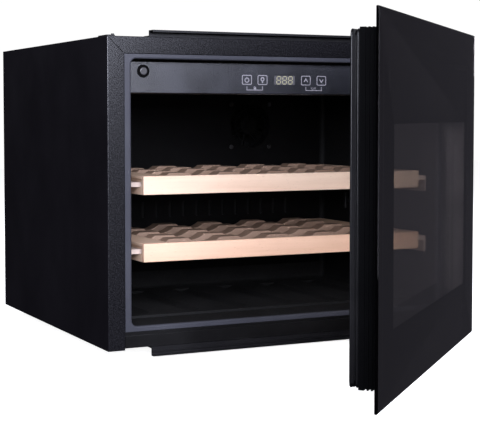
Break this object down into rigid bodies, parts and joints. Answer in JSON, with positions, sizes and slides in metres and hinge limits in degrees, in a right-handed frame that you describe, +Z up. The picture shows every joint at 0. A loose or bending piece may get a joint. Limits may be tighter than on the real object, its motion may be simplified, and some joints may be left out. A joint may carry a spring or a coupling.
{
  "type": "wine cooler",
  "caption": "Compact built-in wine cooler: steel cabinet, smoked glass door hinged on the right, wooden bottle shelves and a touch control fascia.",
  "frame": {"origin": "centre of the cabinet's underside", "axes": "+X to the right seen from the front, +Y from the front into the cabinet, +Z up"},
  "size_m": [0.5912, 0.9207, 0.455],
  "materials": {
    "textured_steel": "matte",
    "side_steel": "satin",
    "rail_steel": "satin",
    "zinc_steel": "satin",
    "liner_plastic": "satin",
    "cover_plastic": "satin",
    "fascia_plastic": "satin",
    "black_plastic": "satin",
    "trim_plastic": "satin",
    "gasket_rubber": "satin",
    "grommet_rubber": "matte",
    "magnet_rubber": "matte",
    "beech": "satin",
    "smoked_glass": "gloss",
    "clear_glass": "gloss",
    "border_print": "gloss",
    "spacer_aluminium": "satin",
    "evaporator_aluminium": "satin",
    "foam": "matte",
    "compressor_paint": "gloss",
    "copper": "satin",
    "coil_paint": "satin",
    "display_lens": "gloss",
    "circuit_board": "satin",
    "lamp_plastic": "gloss",
    "screw_steel": "satin"
  },
  "bodies": {
    "cabinet": {"left_side_panel": "side_steel", "right_side_panel": "side_steel", "top_panel": "side_steel", "base_pan": "zinc_steel", "bottom_front_rail": "rail_steel", "rear_panel": "textured_steel", "insulation_foam": "foam", "inner_liner": "liner_plastic", "evaporator_cover": "cover_plastic", "evaporator_plate": "evaporator_aluminium", "circulation_fan_frame": "black_plastic", "compressor_bulkhead": "zinc_steel", "compressor": "compressor_paint", "compressor_relay": "black_plastic", "compressor_grommets": "grommet_rubber", "condenser_tube": "coil_paint", "condenser_wires": "coil_paint", "condenser_fan_frame": "black_plastic", "filter_drier": "copper", "refrigerant_lines": "copper", "drip_tray": "black_plastic", "power_board_box": "black_plastic", "power_inlet": "black_plastic", "control_fascia": "fascia_plastic", "display_window": "display_lens", "control_pcb": "circuit_board", "lamp_lens": "lamp_plastic", "temperature_sensor": "lamp_plastic", "opener_housing": "black_plastic", "opener_ring": "black_plastic", "opener_spring": "zinc_steel", "top_trim": "trim_plastic", "bottom_trim": "trim_plastic", "hinge_plate_top": "zinc_steel", "hinge_plate_bottom": "zinc_steel", "hinge_pins": "screw_steel", "pan_head_screws": "screw_steel", "hinge_hole_cover": "trim_plastic", "shelf_runners": "zinc_steel"},
    "door": {"door_glass": "smoked_glass", "glass_print": "border_print", "door_frame_top": "black_plastic", "door_frame_bottom": "black_plastic", "door_frame_free_stile": "black_plastic", "door_frame_hinge_stile": "black_plastic", "spacer_bar": "spacer_aluminium", "inner_glass": "clear_glass", "door_gasket": "gasket_rubber", "gasket_magnets": "magnet_rubber", "hinge_leaf_top": "zinc_steel", "hinge_leaf_bottom": "zinc_steel"},
    "upper_shelf": {"upper_shelf_front_rail": "beech", "upper_shelf_side_boards": "beech", "upper_shelf_slats": "beech"},
    "lower_shelf": {"lower_shelf_front_rail": "beech", "lower_shelf_side_boards": "beech", "lower_shelf_slats": "beech"},
    "opener": {"opener_plunger": "fascia_plastic"},
    "circulation_rotor": {"circulation_fan_rotor": "black_plastic"},
    "condenser_rotor": {"condenser_fan_rotor": "black_plastic"}
  },
  "joints": [
    {"name": "door_hinge", "type": "hinge", "parent": "cabinet", "child": "door", "pos_m": [0.27, -0.2565, 0.2], "axis": [0, 0, 1], "range_deg": [-43.6, 61.4]},
    {"name": "upper_shelf_slide", "type": "slide", "parent": "cabinet", "child": "upper_shelf", "axis": [0, -1, 0], "range_m": [0, 0.024]},
    {"name": "lower_shelf_slide", "type": "slide", "parent": "cabinet", "child": "lower_shelf", "axis": [0, -1, 0], "range_m": [0, 0.024]},
    {"name": "opener_slide", "type": "slide", "parent": "cabinet", "child": "opener", "axis": [0, -1, 0], "range_m": [-0.002, 0.018], "deforming": ["opener_spring"]},
    {"name": "circulation_fan_spin", "type": "hinge", "parent": "cabinet", "child": "circulation_rotor", "pos_m": [0.1, 0.0955, 0.302], "axis": [0, 1, 0], "continuous": true},
    {"name": "condenser_fan_spin", "type": "hinge", "parent": "cabinet", "child": "condenser_rotor", "pos_m": [-0.13, 0.2035, 0.105], "axis": [0, 1, 0], "continuous": true}
  ]
}
